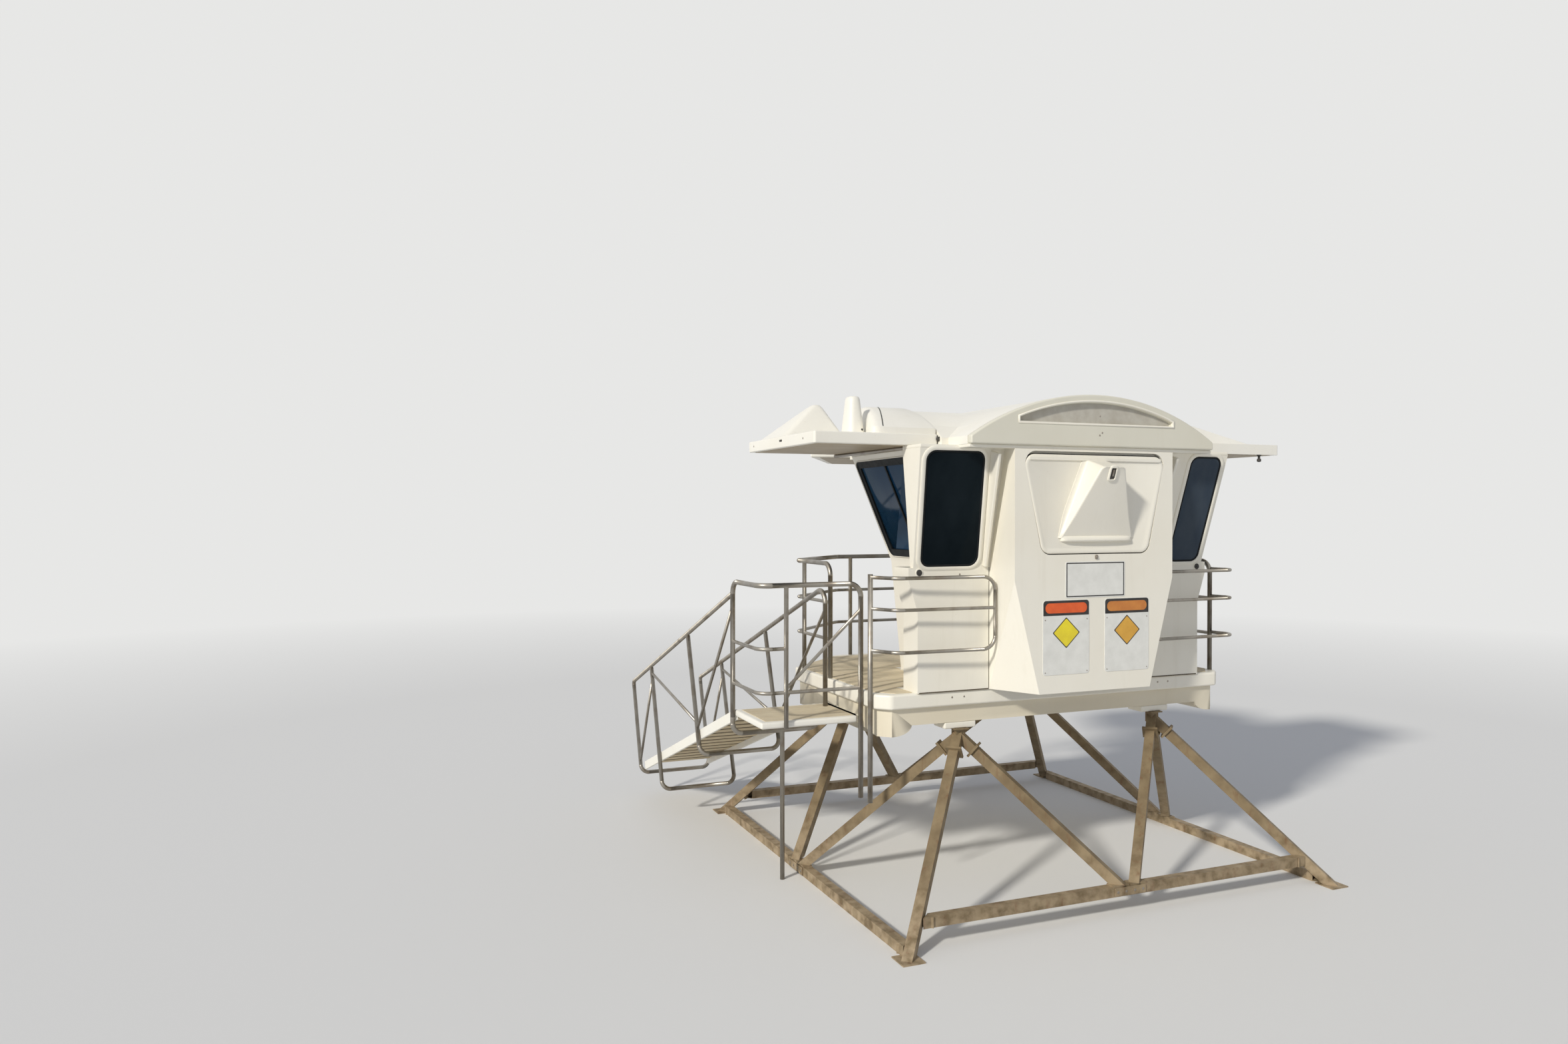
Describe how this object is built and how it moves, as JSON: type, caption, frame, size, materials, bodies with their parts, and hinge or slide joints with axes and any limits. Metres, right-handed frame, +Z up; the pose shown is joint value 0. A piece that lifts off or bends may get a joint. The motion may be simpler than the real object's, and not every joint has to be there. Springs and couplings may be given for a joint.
{
  "type": "lifeguard tower",
  "caption": "Raised moulded cabin with awning shutters and arched roof, on splayed tube legs, with railed deck, side landing and ramp.",
  "frame": {"origin": "middle of the whole box, on the ground", "axes": "+Z up, +Y towards the sea, the closed shutter and rear bay face -Y, the landing and ramp are on the -X side"},
  "size_m": [5.1246, 5.4798, 4.1628],
  "materials": {
    "leg_paint": "matte brown-grey paint",
    "hull_gelcoat": "weathered cream gelcoat",
    "wall_gelcoat": "weathered cream gelcoat",
    "roof_gelcoat": "weathered white gelcoat",
    "dark_glass": "dark tinted glass",
    "blue_glass": "blue tinted glass",
    "steel_tube": "dull stainless tube",
    "ramp_white": "worn white moulding",
    "tread_plank": "sandy plank"
  },
  "bodies": {
    "root": {"rear_beam": "leg_paint", "front_beam": "leg_paint", "left_beam": "leg_paint", "right_beam": "leg_paint", "rear_left_leg": "leg_paint", "rear_right_leg": "leg_paint", "front_left_leg": "leg_paint", "front_right_leg": "leg_paint", "leg_heads": "leg_paint", "rear_braces": "leg_paint", "front_braces": "leg_paint", "left_braces": "leg_paint", "right_braces": "leg_paint", "deck": "hull_gelcoat", "hull": "hull_gelcoat", "leg_pads": "hull_gelcoat", "rear_bay": "wall_gelcoat", "rear_left_wall": "wall_gelcoat", "rear_right_wall": "wall_gelcoat", "left_wall": "wall_gelcoat", "right_wall": "wall_gelcoat", "front_left_wall": "wall_gelcoat", "front_right_wall": "wall_gelcoat", "front_wall": "wall_gelcoat", "ceiling": "wall_gelcoat", "rear_glass": "dark_glass", "side_glass": "blue_glass", "front_glass": "blue_glass", "roof": "roof_gelcoat", "rear_fascia": "roof_gelcoat", "front_fascia": "roof_gelcoat", "rear_shutter": "roof_gelcoat", "left_awning": "roof_gelcoat", "right_awning": "roof_gelcoat", "front_awning": "roof_gelcoat", "awning_stays": "steel_tube", "landing": "ramp_white", "landing_frame": "steel_tube", "ramp_stringers": "ramp_white", "ramp_treads": "tread_plank", "ramp_frames": "steel_tube", "ramp_left_rail": "steel_tube", "ramp_right_rail": "steel_tube", "landing_rail": "steel_tube", "rear_left_rail": "steel_tube", "rear_right_rail": "steel_tube", "front_left_rail": "steel_tube", "front_right_rail": "steel_tube"}
  },
  "joints": []
}
